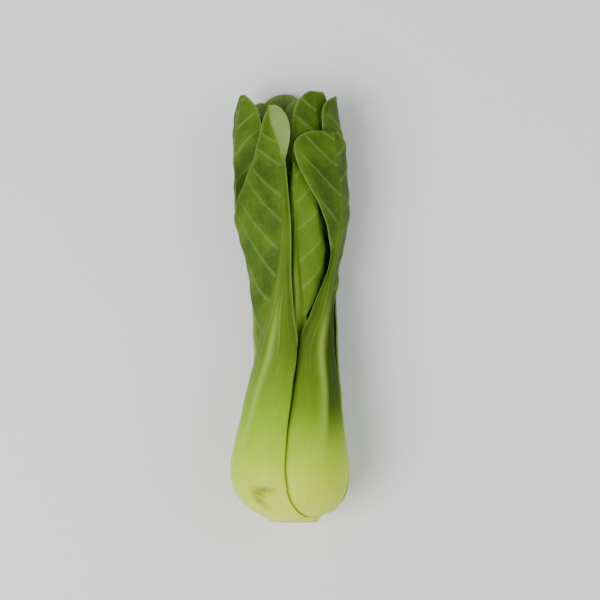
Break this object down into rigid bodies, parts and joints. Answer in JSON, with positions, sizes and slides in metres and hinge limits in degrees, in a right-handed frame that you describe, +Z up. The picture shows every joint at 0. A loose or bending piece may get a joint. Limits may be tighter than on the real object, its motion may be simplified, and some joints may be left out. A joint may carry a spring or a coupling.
{
  "type": "baby bok choy head",
  "caption": "Head of baby bok choy lying on its side, with a bulb of pale clasping stalks that open into upright dark green leaves.",
  "frame": {"origin": "under the middle of the head, on the surface that it lies on", "axes": "+Y along the head from the cut base to the leaf tips, +Z up, +X to the right"},
  "size_m": [0.0506, 0.1826, 0.0441],
  "materials": {
    "stem": "matte",
    "stalk": "satin",
    "blade": "satin",
    "young_blade": "satin"
  },
  "bodies": {
    "root": {"stem": "stem", "leaf_01_stalk": "stalk", "leaf_01_blade": "blade", "leaf_02_stalk": "stalk", "leaf_02_blade": "blade", "leaf_03_stalk": "stalk", "leaf_03_blade": "blade", "leaf_04_stalk": "stalk", "leaf_04_blade": "blade", "leaf_05_stalk": "stalk", "leaf_05_blade": "blade", "leaf_06_stalk": "stalk", "leaf_06_blade": "young_blade", "leaf_07_stalk": "stalk", "leaf_07_blade": "blade", "leaf_08_stalk": "stalk", "leaf_08_blade": "blade", "leaf_09_stalk": "stalk", "leaf_09_blade": "blade", "leaf_10_stalk": "stalk", "leaf_10_blade": "blade", "leaf_11_stalk": "stalk", "leaf_11_blade": "young_blade"}
  },
  "joints": []
}
